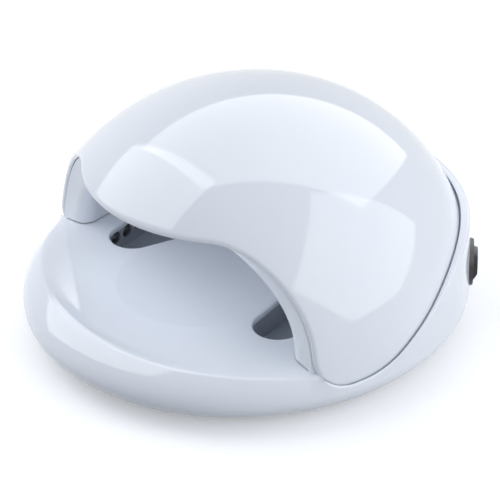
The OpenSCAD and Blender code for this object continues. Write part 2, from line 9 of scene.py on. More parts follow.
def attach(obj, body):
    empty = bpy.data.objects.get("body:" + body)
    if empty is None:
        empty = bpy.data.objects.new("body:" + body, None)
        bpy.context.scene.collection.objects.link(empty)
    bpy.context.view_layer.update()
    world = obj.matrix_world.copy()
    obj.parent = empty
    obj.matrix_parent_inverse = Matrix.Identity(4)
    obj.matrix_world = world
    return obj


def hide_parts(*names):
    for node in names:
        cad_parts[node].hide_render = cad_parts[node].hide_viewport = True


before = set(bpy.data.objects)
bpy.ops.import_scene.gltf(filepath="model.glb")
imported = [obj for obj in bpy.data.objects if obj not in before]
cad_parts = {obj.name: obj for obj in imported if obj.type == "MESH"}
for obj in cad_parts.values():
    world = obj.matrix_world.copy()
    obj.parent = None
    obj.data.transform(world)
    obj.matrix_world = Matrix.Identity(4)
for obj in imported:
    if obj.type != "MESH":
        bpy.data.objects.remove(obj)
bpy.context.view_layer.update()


# Base housing
# The lower moulding of the lamp: glossy bluish white ABS, injection moulded in one piece.
# A dished tray in front, a softly rounded rim, and round the sides and rear a collar whose
# rounded lip takes the edge of the hood in a narrow groove.

WAIST = np.array([100.0, 106.2])       # half width and half depth at the waist, mm
WAIST_Z = 15.0
TRAY_Z = 27.0
UNDER_Z = 2.0
DOME = np.array([97.9, 105.0, 91.2])   # radii of the hood's dome
DOME_C = np.array([0.0, 0.9, 20.2])
RISER_Y = -40.2                        # upright front edge of the hood's legs
SEAM_LOW, SEAM_TOP = 18.0, 51.0        # heights of the seam behind the legs and round the rear
SEAM_SLOPE = 27.5
FOOT_Y, FOOT_RISE = -23.4, 15.0        # rear end and height of the rounding at the leg's foot
TURN_Y, TURN_UP = -21.4, 55.0          # where the seam starts to rise, and the radius of that turn
LEVEL_OFF = 115.0                      # radius that brings the seam level again
COLLAR_LEAN, COLLAR_H = 0.015, 41.0    # share that the collar leans in over its height
GROOVE = 1.0                           # gap between the hood and the lip of the collar
FENCE = (-2.9, -5.3)                   # outer and inner face of the fence in the groove, from the dome
FENCE_DROP = 0.8                       # top of the fence under the lip
FOOT_ANGLE = -22.5                     # direction of the legs' feet, degrees from +X
WALL_TURNS = (-25.0, -18.0)            # directions over which the round rim becomes the collar
INSIDE_TURNS = (-22.6, -20.6)          # the same for the inner side
SEAM_ONLY = -12.0                      # direction from which the top is the seam alone


def linear(code):
    """sRGB hex to linear colour: a channel over 12.92 below 0.04045, else its 2.4 power curve."""
    c = np.array([int(code[i:i + 2], 16) for i in (1, 3, 5)]) / 255
    return (*np.where(c <= 0.04045, c / 12.92, ((c + 0.055) / 1.055) ** 2.4), 1.0)


def add(tree, kind, settings=None, inputs=None):
    """Adds a shader node: settings are its attributes, inputs are values or sockets by name or
    number."""
    made = tree.nodes.new(kind)
    for name, value in (settings or {}).items():
        setattr(made, name, value)
    for name, value in (inputs or {}).items():
        if isinstance(value, bpy.types.NodeSocket):
            tree.links.new(value, made.inputs[name])
        else:
            made.inputs[name].default_value = value
    return made


def new_material(name):
    """An empty node material: itself, its tree, its output node and the object coordinates."""
    material = bpy.data.materials.new(name)
    material.use_nodes = True
    tree = material.node_tree
    tree.nodes.clear()
    place = add(tree, "ShaderNodeTexCoord")
    return material, tree, add(tree, "ShaderNodeOutputMaterial"), place.outputs["Object"]


def moulded(name, shade, dark, roughness, spread, grain_mm, bump_mm, ior=1.53, coat=0.0,
            scatter=0.0):
    """Moulded plastic: colour drifts between two close shades over 45 mm, and a fine grain of
    grain_mm moves the roughness by spread and lifts the surface by bump_mm."""
    material, tree, out, place = new_material(name)
    drift = add(tree, "ShaderNodeTexNoise", None, {"Vector": place, "Scale": 1 / 0.045, "Detail": 2.0})
    grain = add(tree, "ShaderNodeTexNoise", None,
                {"Vector": place, "Scale": 1000 / grain_mm, "Detail": 3.0})
    colour = add(tree, "ShaderNodeMix", {"data_type": "RGBA"},
                 {"Factor": drift.outputs["Fac"], 6: linear(dark), 7: linear(shade)})
    rough = add(tree, "ShaderNodeMapRange", None,
                {"Value": grain.outputs["Fac"], "From Min": 0.3, "From Max": 0.7,
                 "To Min": roughness - spread, "To Max": roughness + spread})
    bump = add(tree, "ShaderNodeBump", None,
               {"Height": grain.outputs["Fac"], "Strength": 0.5, "Distance": bump_mm / 1000})
    shader = add(tree, "ShaderNodeBsdfPrincipled", None,
                 {"Base Color": colour.outputs[2], "Roughness": rough.outputs["Result"], "IOR": ior,
                  "Normal": bump.outputs["Normal"], "Coat Weight": coat, "Coat Roughness": 0.04,
                  "Subsurface Weight": scatter, "Subsurface Scale": 0.002})
    tree.links.new(shader.outputs["BSDF"], out.inputs["Surface"])
    return material


# High gloss white ABS: clear mirror of the lights over a milky, slightly blue body.
WHITE_ABS = moulded("white_abs_gloss", "#ebf0f7", "#e6ebf4", 0.07, 0.015, 0.6, 0.0006)


def smooth_piece(name, sheets, material, left_out=None):
    """One mesh from sheets of (rows, columns, 3) points in mm. Each pair of rows and columns makes a
    quad, equal points of neighbouring sheets are merged, and the faces are shaded smooth. Quads
    whose middle is in the room left_out are dropped."""
    points, quads, first = [], [], 0
    for sheet in sheets:
        rows, columns = sheet.shape[:2]
        i = first + np.arange(rows * columns).reshape(rows, columns)
        quads.append(np.stack([i[:-1, :-1], i[1:, :-1], i[1:, 1:], i[:-1, 1:]], -1).reshape(-1, 4))
        points.append(sheet.reshape(-1, 3))
        first += rows * columns
    points, quads = np.concatenate(points), np.concatenate(quads)
    if left_out:
        quads = quads[~left_out(points[quads].mean(1))]
    mesh = bpy.data.meshes.new(name)
    mesh.from_pydata((points / 1000).tolist(), [], quads.tolist())
    work = bmesh.new()
    work.from_mesh(mesh)
    bmesh.ops.remove_doubles(work, verts=work.verts, dist=1e-6)
    bmesh.ops.dissolve_degenerate(work, edges=work.edges, dist=1e-7)
    work.to_mesh(mesh)
    work.free()
    mesh.polygons.foreach_set("use_smooth", [True] * len(mesh.polygons))
    mesh.materials.append(material)
    piece = bpy.data.objects.new(name, mesh)
    bpy.context.scene.collection.objects.link(piece)
    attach(piece, "lamp")
    return piece


def ease(x, low, high):
    """Smooth step from 0 at low to 1 at high: 3t^2 - 2t^3."""
    t = np.clip((x - low) / (high - low), 0, 1)
    return t * t * (3 - 2 * t)


def seam_height(y):
    """Height of the seam between hood and base over y: a quarter ellipse behind the leg, the low
    stretch, an arc that turns up, a straight slope, and an arc that levels off at the top."""
    a = math.radians(SEAM_SLOPE)
    y1, z1 = TURN_Y + TURN_UP * math.sin(a), SEAM_LOW + TURN_UP - TURN_UP * math.cos(a)
    z2 = SEAM_TOP - LEVEL_OFF * (1 - math.cos(a))
    y2 = y1 + (z2 - z1) / math.tan(a)
    y3 = y2 + LEVEL_OFF * math.sin(a)
    root = lambda value: np.sqrt(np.clip(value, 0, None))
    return np.select(
        [y < RISER_Y, y < FOOT_Y, y < TURN_Y, y < y1, y < y2, y < y3],
        [SEAM_LOW + FOOT_RISE,
         SEAM_LOW + FOOT_RISE - FOOT_RISE * root(1 - ((y - FOOT_Y) / (FOOT_Y - RISER_Y)) ** 2),
         SEAM_LOW,
         SEAM_LOW + TURN_UP - root(TURN_UP ** 2 - (y - TURN_Y) ** 2),
         z1 + (y - y1) * math.tan(a),
         SEAM_TOP - LEVEL_OFF + root(LEVEL_OFF ** 2 - (y - y3) ** 2)], SEAM_TOP)


def dome_share(direction, z, grow=0.0):
    """How far along a plan direction, in shares of the waist ellipse, the dome grown by grow lies at
    height z: the positive root of the ellipse equation of that level."""
    r = DOME + grow
    level = np.sqrt(np.clip(1 - ((z - DOME_C[2]) / r[2]) ** 2, 0, None))
    ax, ay = direction[..., 0] / (r[0] * level), direction[..., 1] / (r[1] * level)
    c = DOME_C[1] / (r[1] * level)
    a, b = ax ** 2 + ay ** 2, ay * c
    return (b + np.sqrt(b * b - a * (c * c - 1))) / a


def rim_height(front):
    """Height of the rim crest in front, over the share of the way from the middle of the front to
    the hood's foot: 27.9 less 3.6 times that share to the power 2.7."""
    return 27.9 - 3.6 * front ** 2.7


def outer_share(front, collar, z):
    """Share of the waist ellipse that the outside reaches at height z. Under the waist a quarter
    ellipse 27 high, over it one whose height grows from 27 to 36.5 towards the foot, and by the
    weight collar a straight wall that leans in."""
    rise = np.where(z < WAIST_Z, 27.0, 27 + 9.5 * front ** 2)
    round_wall = np.sqrt(np.clip(1 - ((z - WAIST_Z) / rise) ** 2, 0, None))
    leaning_wall = 1 - COLLAR_LEAN * np.clip(z - WAIST_Z, 0, None) / COLLAR_H
    w = np.where(z < WAIST_Z, 0.0, collar)
    return (1 - w) * round_wall + w * leaning_wall


def bezier(a, b, c, count):
    """Quadratic curve from a to c that leaves and arrives along the lines to b."""
    u = np.linspace(0, 1, count)[:, None]
    return (1 - u) ** 2 * a + 2 * u * (1 - u) * b + u ** 2 * c


def dimple(x, y):
    """Depth of the palm dimple: a bowl of radius 37 and depth 2.4, with a softened edge."""
    r2 = (x ** 2 + (y + 30.4) ** 2) / 37 ** 2
    bowl = 2.4 * (1 - r2)
    return 0.5 * (bowl + np.sqrt(bowl ** 2 + 0.05 ** 2))


def base_profile(angle):
    """One cross-section of the base at a direction of the right half, from the rim of the underside
    up the outside, round the top edge, and inside to the tray: pairs of share and height."""
    front = np.clip((angle + 90) / (FOOT_ANGLE + 90), 0, None)
    shut = ease(angle, *WALL_TURNS)
    inside = float(ease(angle, *INSIDE_TURNS))
    way = WAIST * [math.cos(math.radians(angle)), math.sin(math.radians(angle))]
    seam = float(seam_height((1 - COLLAR_LEAN) * way[1]))
    crest = float(rim_height(min(front, 1.25)))
    top = seam
    if angle <= SEAM_ONLY:
        # the lower of the rim's crest and 0.2 under the seam, rounded where they cross
        top = 0.5 * (crest + seam - 0.2 - math.sqrt((crest - seam + 0.2) ** 2 + 0.5))
    out = lambda z: outer_share(front, shut, z)
    share_top = float(out(top))

    # the seat of the bottom plate, the rounding to the underside, and the outside
    under = [[0.827, 6.0], [0.827, 2.5], [0.829, 2.15], [0.834, UNDER_Z], [0.862, UNDER_Z]]
    bend_z = 2.9
    lower = bezier(np.array([0.868, UNDER_Z]), np.array([float(out(UNDER_Z)), UNDER_Z]),
                   np.array([float(out(bend_z)), bend_z]), 6)
    drop = 0.9 + 0.9 * inside
    levels = np.concatenate([np.linspace(bend_z, WAIST_Z, 14)[1:],
                             np.linspace(WAIST_Z, top - drop, 30)[1:]])
    wall = np.stack([out(levels), levels], 1)

    # inner side in front: a parabola that lands level on the tray
    reach = 0.06 + 0.07 * min(front, 1.2) ** 2
    land = share_top - reach
    fore = lambda s: TRAY_Z + (top - TRAY_Z) * np.clip((s - land) / reach, 0, None) ** 2
    s_front = share_top - 0.017
    s_fore = np.concatenate([np.linspace(s_front, land, 14)[1:], np.linspace(land, land - 0.05, 6)[1:]])
    front_side = np.stack([s_fore, fore(s_fore)], 1)

    # inner side of the collar: flat lip, groove, fence, and down to the tray
    near = lambda z, grow: float(dome_share(way, z, grow))
    lip = near(top, GROOVE)
    s_rear = max(share_top - 0.018, lip + 0.004)
    ledge = top - FENCE_DROP
    fence = near(max(ledge, DOME_C[2]), FENCE[1])
    foot = 0.9 + (near(TRAY_Z, FENCE[1]) - 0.9) * float(ease(top, TRAY_Z, 31.0))
    groove = [(1.2, GROOVE), (2.4, GROOVE), (3.6, GROOVE), (3.6, -1.0), (3.6, FENCE[0]),
              (2.2, FENCE[0]), (FENCE_DROP, FENCE[0])]
    rear_side = np.array(
        [[0.5 * (s_rear + lip + 0.002), top], [lip + 0.002, top], [lip + 0.0006, top - 0.08],
         [lip, top - 0.3]]
        + [[near(top - down, grow), top - down] for down, grow in groove]
        + [[0.5 * (near(ledge, FENCE[0]) + fence), ledge]]
        + [[fence + k * (foot - fence), ledge + k * (TRAY_Z - ledge)] for k in np.linspace(0, 1, 6)])
    side = (1 - inside) * front_side + inside * rear_side
    start = (1 - inside) * np.array([s_front, float(fore(s_front))]) + inside * np.array([s_rear, top])
    edge = bezier(wall[-1], np.array([share_top, top]), start, 9)[1:]
    return np.concatenate([under, lower, wall, edge, side])


half_turn = np.unique(np.concatenate([
    np.linspace(-90, -25, 110), np.linspace(-25, -12, 70), np.linspace(-12, 90, 110)]))
profiles = np.stack([base_profile(a) for a in half_turn])
turn = np.radians(half_turn)
band = np.stack([profiles[..., 0] * WAIST[0] * np.cos(turn)[:, None],
                 profiles[..., 0] * WAIST[1] * np.sin(turn)[:, None], profiles[..., 1]], -1)
band[[0, -1], :, 0] = 0
mirror = np.array([-1.0, 1, 1])


def both(sheet):
    """A sheet of the right half and its mirror image, with the rows of the image turned round so
    that its faces point outwards too."""
    return [sheet, sheet[::-1] * mirror]


WELL_X, WELL_Y = 50.7, np.array([-26.8, -6.4])   # centres of the well's narrow and wide end
WELL_R = np.array([11.0, 16.0])
WELL_LEAN = math.asin((WELL_R[1] - WELL_R[0]) / (WELL_Y[1] - WELL_Y[0]))
LIP = 1.0                              # rounding of the tray at the wells


def well_loop():
    """Outline of the right thumb well as dense points with their outward directions: the wide arc,
    a tangent, the narrow arc and the other tangent."""
    wide = np.linspace(-WELL_LEAN, math.pi + WELL_LEAN, 240)
    narrow = np.linspace(math.pi + WELL_LEAN, 2 * math.pi - WELL_LEAN, 160)
    way = np.concatenate([wide, np.full(60, wide[-1]), narrow, np.full(60, narrow[-1])])
    away = np.stack([np.cos(way), np.sin(way)], 1)
    t = np.linspace(0, 1, 60)[:, None]
    rim = lambda a, k: (np.array([WELL_X, WELL_Y[k]])
                        + WELL_R[k] * np.stack([np.cos(a), np.sin(a)], -1))
    ends = [rim(wide[-1], 1), rim(narrow[0], 0), rim(narrow[-1], 0), rim(wide[0], 1)]
    points = np.concatenate([rim(wide, 1), ends[0] + t * (ends[1] - ends[0]), rim(narrow, 0),
                             ends[2] + t * (ends[3] - ends[2])])
    return points, away


# the tray from the well to the rim and the middle line, on lines that fan out from the well
middle_line = np.linspace(band[-1, -1, 1], band[0, -1, 1], 152)[1:-1]
outer = np.concatenate([band[:, -1, :2], np.column_stack([np.zeros(150), middle_line])])
outer = np.concatenate([outer, outer[:1]])
centre = np.array([WELL_X, -14.0])
loop, loop_away = well_loop()
aim = np.unwrap(np.arctan2(*(outer - centre).T[::-1]))
seen = np.unwrap(np.arctan2(*(loop + LIP * loop_away - centre).T[::-1]))
seen += 2 * math.pi * round((aim[0] - seen[0]) / (2 * math.pi))
turns = np.concatenate([seen - 2 * math.pi, seen, seen + 2 * math.pi])
pick = lambda values: np.stack([np.interp(aim, turns, np.tile(values[:, k], 3)) for k in (0, 1)], 1)
ring, ring_away = pick(loop), pick(loop_away)
ring_away /= np.linalg.norm(ring_away, axis=1)[:, None]
share = np.linspace(0, 1, 64)[:, None, None] ** 1.15
flat = (1 - share) * (ring + LIP * ring_away) + share * outer
tray = np.dstack([flat, TRAY_Z - dimple(flat[..., 0], flat[..., 1])])
tray[-1, :len(band), 2] = TRAY_Z
roll = np.linspace(0, math.pi / 2, 9)
steps = np.concatenate([LIP * (1 - np.sin(roll)), [0, 0]])
depths = np.concatenate([LIP * (1 - np.cos(roll)), [2.4, 2.7]])
well_lip = np.stack([np.column_stack([ring + s * ring_away, np.full(len(ring), TRAY_Z - d)])
                     for s, d in zip(steps, depths)])

# at the inlet and the switch the wall has a window, filled by a patch that runs into a round hole
INLET = np.array([0, 105.8, 25.6])
INLET_HOLE = (7.5, 2.4)                # radius and depth
SWITCH = np.array([68.55, 77.32, 25.6])
SWITCH_HOLE = (10.6, 3.0)


def wall_at(a, z):
    """Points of the collar's outside at ellipse angle a, in radians, and height z."""
    k = 1 - COLLAR_LEAN * (z - WAIST_Z) / COLLAR_H
    return np.stack([WAIST[0] * k * np.cos(a), WAIST[1] * k * np.sin(a), z], -1)


def port(border, middle, tangent, radius, depth):
    """The wall between a border line and a round hole about an axis through middle, and the hole's
    side, rounded at its edge. Offsets along the tangent are turned back to ellipse angles by a table."""
    turns = np.radians(np.linspace(15, 115, 1000))
    offsets = (wall_at(turns, np.full(1000, middle[2]))[:, :2] - middle[:2]) @ tangent
    aside = (border[:, :2] - middle[:2]) @ tangent
    above = border[:, 2] - middle[2]
    size = np.hypot(aside, above)
    rings = [border]
    for share in np.linspace(1, 0, 12)[1:]:
        grown = share + (1 - share) * radius / size
        rings.append(wall_at(np.interp(aside * grown, offsets, turns), middle[2] + above * grown))
    inwards = np.array([-tangent[1], tangent[0], 0])
    way = np.column_stack([np.outer(aside / size, tangent), above / size])
    return np.stack(rings + [rings[-1] - g * way + d * inwards for g, d in
                             ((0.06, 0.04), (0.16, 0.14), (0.2, 0.3), (0.2, 1.0), (0.2, depth))])


def wall_rows(column, *levels):
    """The rows of one column of the band whose points of the outside lie nearest to some levels."""
    return [int(np.argmin(np.abs(band[column, :60, 2] - z))) for z in levels]


low, high = wall_rows(-1, 17.0, 34.3)
by_inlet = int(np.searchsorted(half_turn, 83.5))
inlet = port(np.concatenate([band[:by_inlet:-1, low], band[by_inlet, low:high + 1],
                             band[by_inlet + 1:, high]]), INLET, np.array([-1.0, 0]), *INLET_HOLE)
inlet[:, [0, -1], 0] = 0
low_s, high_s = wall_rows(-60, 12.8, 38.4)
first, last = (int(np.searchsorted(half_turn, v)) for v in (38.6, 54.6))
switch_border = np.concatenate([band[first, low_s:high_s + 1], band[first + 1:last + 1, high_s],
                                band[last, low_s:high_s][::-1], band[first:last, low_s][::-1]])
switch_hole = port(switch_border, SWITCH, np.array([-1, 1]) / math.sqrt(2), *SWITCH_HOLE)
rear = [band[by_inlet:, :low + 1], band[by_inlet:, high:], inlet, tray, well_lip[::-1]]
plain = [band[:by_inlet + 1]] + rear
pierced = [band[:first + 1], band[first:last + 1, :low_s + 1], band[first:last + 1, high_s:],
           band[last:by_inlet + 1], switch_hole] + rear


def switch_room(p):
    """Points inside the room that the deck leaves behind the wall for the body of the switch: within
    14.5 mm of its axis and from 3.6 to 32 mm behind its face."""
    ahead = (p[:, 0] - SWITCH[0] + p[:, 1] - SWITCH[1]) / math.sqrt(2)
    aside = (p[:, 1] - SWITCH[1] - p[:, 0] + SWITCH[0]) / math.sqrt(2)
    return (ahead < -3.6) & (ahead > -32) & (np.hypot(aside, p[:, 2] - SWITCH[2]) < 14.5)


base = smooth_piece("base_moulding", pierced + [sheet[::-1] * mirror for sheet in plain], WHITE_ABS,
                    left_out=switch_room)
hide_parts("base_housing")


# Hood shell
# The outer dome, glossy white ABS 2.5 mm thick. Its edge is rounded over, runs level as a visor over
# the opening, turns down into two legs, and all round the sides and rear it stands in the base's groove.

SHELL = 2.5
ROUND, ROUND_DEEP = 2.6, 2.0           # width and depth of the rounding of the hood's edge
TUCK = 3.0                             # how far the hood's edge stands under the seam
VISOR_Z = 80.9
CHEEK = np.array([21.2, 43.5])         # half axes of the quarter ellipse from the visor to the leg
LEVEL_Y = 83.6                         # where the edge is level round the rear


def on_dome(p, depth=0.0):
    """The point of the dome, made smaller all round by depth, on the ray from its middle through p."""
    r = DOME - depth
    q = (p - DOME_C) / r
    return DOME_C + r * q / np.linalg.norm(q, axis=-1, keepdims=True)


def arc(centre, radius, start, stop, count):
    """Points of an arc in the side view, radius a number or a pair, angles in degrees from +Y."""
    a = np.radians(np.linspace(start, stop, count))
    return np.array(centre) + np.broadcast_to(radius, 2) * np.stack([np.cos(a), np.sin(a)], 1)


def dome_over(side):
    """Side view points (y, z) carried out to the right half of the dome."""
    q = (side - DOME_C[1:]) / DOME[1:]
    return np.column_stack([DOME[0] * np.sqrt(np.clip(1 - (q ** 2).sum(1), 0, None)), side])


def level_ring(z, start, stop, count):
    """Points of the dome at height z, between two plan angles in degrees from +X."""
    a = np.radians(np.linspace(start, stop, count))
    k = math.sqrt(1 - ((z - DOME_C[2]) / DOME[2]) ** 2)
    return np.column_stack([DOME_C[0] + DOME[0] * k * np.cos(a), DOME_C[1] + DOME[1] * k * np.sin(a),
                            np.full(count, z)])


def plan_angle(y, z):
    """Plan angle of the dome's point at y and height z, in degrees from +X."""
    k = math.sqrt(1 - ((z - DOME_C[2]) / DOME[2]) ** 2)
    return math.degrees(math.asin((y - DOME_C[1]) / (DOME[1] * k)))


def resample(points, count):
    """The polyline again with count points at equal steps along its length."""
    way = np.concatenate([[0], np.cumsum(np.linalg.norm(np.diff(points, axis=0), axis=1))])
    at = np.linspace(0, way[-1], count)
    return np.stack([np.interp(at, way, points[:, k]) for k in range(points.shape[1])], 1)


cheek_c = (RISER_Y - CHEEK[0], VISOR_Z - CHEEK[1])
edge_line = np.concatenate([
    level_ring(VISOR_Z, -90, plan_angle(cheek_c[0], VISOR_Z), 200),
    dome_over(arc(cheek_c, CHEEK, 90, 0, 400)[1:]),
    dome_over(arc((FOOT_Y, SEAM_LOW + FOOT_RISE), (FOOT_Y - RISER_Y, FOOT_RISE + TUCK), 180, 270, 200)),
    dome_over(arc((TURN_Y, SEAM_LOW + TURN_UP), TURN_UP + TUCK, 270, 270 + SEAM_SLOPE, 200)),
    dome_over(arc((LEVEL_Y, SEAM_TOP - LEVEL_OFF), LEVEL_OFF - TUCK, 90 + SEAM_SLOPE, 90, 400)),
    level_ring(SEAM_TOP - TUCK, plan_angle(LEVEL_Y, SEAM_TOP - TUCK), 90, 300)[1:]])
edge_line = on_dome(resample(edge_line, 620))
edge_line[[0, -1], 0] = 0
along = np.gradient(edge_line, axis=0)
along /= np.linalg.norm(along, axis=1)[:, None]
out_of_dome = (edge_line - DOME_C) / DOME ** 2
out_of_dome /= np.linalg.norm(out_of_dome, axis=1)[:, None]
inward = np.cross(out_of_dome, along)
inward[[0, -1], 0] = 0


def fan(pole, rim, depth, shares):
    """Great circle arcs, on the dome taken as a unit sphere, from a pole to each point of the rim."""
    r = DOME - depth
    q = (rim - DOME_C) / r
    q /= np.linalg.norm(q, axis=1)[:, None]
    angle = np.arccos(q @ pole)[None, :, None]
    u = shares[:, None, None]
    rays = (np.sin((1 - u) * angle) * pole + np.sin(u * angle) * q) / np.sin(angle)
    return DOME_C + r * rays


POLE = np.array([0, math.sin(math.radians(15)), math.cos(math.radians(15))])
bend = np.radians(np.linspace(0, 90, 9))[1:]
steps = list(zip(ROUND * (1 - np.sin(bend)), ROUND_DEEP * (1 - np.cos(bend))))
steps += [(0.0, 2.25), (0.1, 2.43), (0.35, SHELL), (1.5, SHELL), (4.0, SHELL), (8.0, SHELL)]
rows = [on_dome(edge_line + e * inward, d) for e, d in steps]
outside = fan(POLE, on_dome(edge_line + ROUND * inward), 0, np.linspace(0, 1, 86))
lining = fan(POLE, rows[-1], SHELL, np.linspace(1, 0, 26))[1:]
shell = np.concatenate([outside, np.stack(rows), lining])
shell[:, [0, -1], 0] = 0
hood = smooth_piece("hood_dome", both(shell.swapaxes(0, 1)[::-1]), WHITE_ABS)
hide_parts("hood_shell")


# Hood liner
# The inner moulding of white ABS: a front wall set back 0.6 mm behind the hood's edge, a rounded
# bell mouth, the arched tunnel for the hand, and a flat ceiling with the oval light window.

SET_BACK = 0.6
TUNNEL = np.array([74.0, 80.0, 50.0])  # half axes of the tunnel's ellipsoid
TUNNEL_Y = -16.4
CEILING_Z = 70.5
BELL = 7.0                             # depth of the bell mouth
LINER_FOOT = 0.45                      # gap between the liner and the base under it
ACROSS = 40                            # points across the flat ceiling
wall_y = RISER_Y + SET_BACK
wall_side = np.concatenate([[(-100, VISOR_Z + SET_BACK)], arc(cheek_c, CHEEK + SET_BACK, 90, 0, 900),
                            [(wall_y, 10)]])
wall_way = np.concatenate([[0], np.cumsum(np.linalg.norm(np.diff(wall_side, axis=0), axis=1))])
wall_way -= wall_way[1]
step = np.gradient(wall_side[1:-1], axis=0)
wall_turn = np.concatenate([[0], np.arctan2(-step[:, 1], step[:, 0]), [math.pi / 2]])


def front_wall(t):
    """Side view of the liner's front wall at length t from the rear end of the visor: level and
    forward where t is negative, then a quarter ellipse down to the leg, then straight down.
    Gives y, z and how far the wall has turned from level to upright."""
    return [np.interp(t, wall_way, v) for v in (wall_side[:, 0], wall_side[:, 1], wall_turn)]


def wall_length(z):
    """The length t of the front wall at height z."""
    return np.interp(-z, -wall_side[1:, 1], wall_way[1:])


def rest_height(x, y):
    """Height of the base's surface under a point in front of the collar: the profile of that
    direction."""
    angle = np.degrees(np.arctan2(y / WAIST[1], x / WAIST[0]))
    share = np.hypot(x / WAIST[0], y / WAIST[1])
    near = np.searchsorted(half_turn, np.minimum(angle, -22.7))
    return np.array([np.interp(s, profiles[k][12:, 0][::-1], profiles[k][12:, 1][::-1])
                     for s, k in zip(share, near)])


# inner edge of the mouth, from the middle of the ceiling to the tray
levels = np.concatenate([np.linspace(CEILING_Z, 62, 30), np.linspace(62, TRAY_Z + LINER_FOOT, 90)[1:]])
inner_y = front_wall(wall_length(levels))[0] + BELL + 0.5
inner_x = TUNNEL[0] * np.sqrt(1 - ((inner_y - TUNNEL_Y) / TUNNEL[1]) ** 2
                              - ((levels - TRAY_Z) / TUNNEL[2]) ** 2)
top_x = np.linspace(0, inner_x[0], ACROSS)[:-1]
mouth_in = np.column_stack([np.concatenate([top_x, inner_x]),
                            np.concatenate([np.full(ACROSS - 1, inner_y[0]), inner_y]),
                            np.concatenate([np.full(ACROSS - 1, CEILING_Z), levels])])
leaning = np.stack([mouth_in[:, 0] / TUNNEL[0] ** 2, (mouth_in[:, 2] - TRAY_Z) / TUNNEL[2] ** 2], 1)
leaning /= np.linalg.norm(leaning, axis=1)[:, None]
corner = leaning[ACROSS - 1].copy()
turned = np.clip(mouth_in[:ACROSS, 0] / mouth_in[ACROSS - 1, 0], 0, 1)[:, None] ** 3
leaning[:ACROSS] = (1 - turned) * np.array([0, 1]) + turned * corner
leaning /= np.linalg.norm(leaning, axis=1)[:, None]
mouth_x = mouth_in[:, 0] + BELL * leaning[:, 0]
mouth_z = mouth_in[:, 2] + BELL * leaning[:, 1]
mouth_t = wall_length(mouth_z)
mouth_y, _, mouth_a = front_wall(mouth_t)
mouth_out = np.column_stack([mouth_x, mouth_y, mouth_z])
slide = -1 / np.tan(np.clip(mouth_a, 0.05, math.pi / 2))     # how the wall's y changes with height
knee = mouth_out - BELL * np.column_stack([leaning[:, 0], leaning[:, 1] * slide, leaning[:, 1]])
u = np.linspace(0, 1, 17)[:, None, None]
bell = (1 - u) ** 2 * mouth_out + 2 * u * (1 - u) * knee + u ** 2 * mouth_in

# outer edge of the front wall, on the inside of the hood
DEPTH = 3.5
rim_t = np.linspace(-14, 66, 2400)
rim_side = np.stack(front_wall(rim_t)[:2], 1)
level_left = 1 - (((rim_side - DOME_C[1:]) / (DOME[1:] - DEPTH)) ** 2).sum(1)
within = level_left > 0
rim = np.column_stack([(DOME[0] - DEPTH) * np.sqrt(level_left[within]), rim_t[within]])
rim = np.vstack([[0, 2 * rim[0, 1] - rim[1, 1] if rim[0, 0] > 0 else rim[0, 1]], rim])
foot_z = rest_height(rim[:, 0], np.full(len(rim), wall_y)) + LINER_FOOT
keep = (front_wall(rim[:, 1])[1] > foot_z) | (rim[:, 1] < 30)
rim = resample(rim[keep], len(mouth_out))
share = np.linspace(0, 1, 36)[:, None, None]
flat = (1 - share) * np.column_stack([mouth_x, mouth_t]) + share * rim
wy, wz, wa = front_wall(flat[..., 1])
wall = np.dstack([flat[..., 0], wy, wz])
wall[:, -1, 2] = rest_height(wall[:, -1, 0], wall[:, -1, 1]) + LINER_FOOT
rim_p = wall[-1]
back = np.column_stack([np.zeros(len(rim_p)), np.sin(wa[-1]), np.cos(wa[-1])])
bend = np.radians(np.linspace(0, 90, 6))[1:]
returns = [on_dome(rim_p + 0.7 * (1 - math.cos(b)) * back, DEPTH - 0.7 * math.sin(b)) for b in bend]
returns += [on_dome(rim_p + w * back, DEPTH - 0.7) for w in (2.0, 4.0)]
front = np.concatenate([bell[::-1], wall[1:], np.stack(returns)])
front[:, 0, 0] = 0

# the arched wall from the mouth round the rear, and the ceiling with its window
ring_k = np.sqrt(1 - ((levels - TRAY_Z) / TUNNEL[2]) ** 2)
start = np.arccos(np.clip(-(inner_y - TUNNEL_Y) / (TUNNEL[1] * ring_k), -1, 1))
b = start[:, None] + (math.pi - start[:, None]) * np.linspace(0, 1, 150)
arch = np.dstack([TUNNEL[0] * ring_k[:, None] * np.sin(b),
                  TUNNEL_Y - TUNNEL[1] * ring_k[:, None] * np.cos(b),
                  np.broadcast_to(levels[:, None], b.shape)])
arch[:, -1, 0] = 0
WINDOW = np.array([29.0, 21.0])
WINDOW_Y = -6.0
outline = np.concatenate([mouth_in[:ACROSS], arch[0][1:]])
w = np.arctan2(outline[:, 0] / WINDOW[0], -(outline[:, 1] - WINDOW_Y) / WINDOW[1])
hole = lambda grow, z: np.column_stack([
    (WINDOW[0] + grow) * np.sin(w), WINDOW_Y - (WINDOW[1] + grow) * np.cos(w), np.full(len(w), z)])
u = np.linspace(0, 1, 14)[:, None, None]
ceiling = np.concatenate([np.stack([hole(0, 71.5), hole(0, 70.9), hole(0.12, 70.62)]),
                          (1 - u) * hole(0.4, CEILING_Z) + u * outline])
ceiling[:, [0, -1], 0] = 0
liner = smooth_piece("liner_moulding", both(front) + both(arch) + both(ceiling), WHITE_ABS)
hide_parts("hood_liner")


# Thumb wells
# Two grey ABS cups under the tray, moulded satin, each with room for a thumb and its emitters, and
# screwed to the base from below.

def dress(material, *nodes):
    """Gives CAD nodes that keep their shape this material."""
    for name in nodes:
        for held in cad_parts[name].material_slots:
            held.material = material


# Satin grey with a fine sparkle of the moulding grain, light enough to hold its own in the shade.
GREY_ABS = moulded("grey_abs_satin", "#a3a9b2", "#979ea8", 0.30, 0.06, 0.45, 0.004)
dress(GREY_ABS, "thumb_well_left", "thumb_well_right")


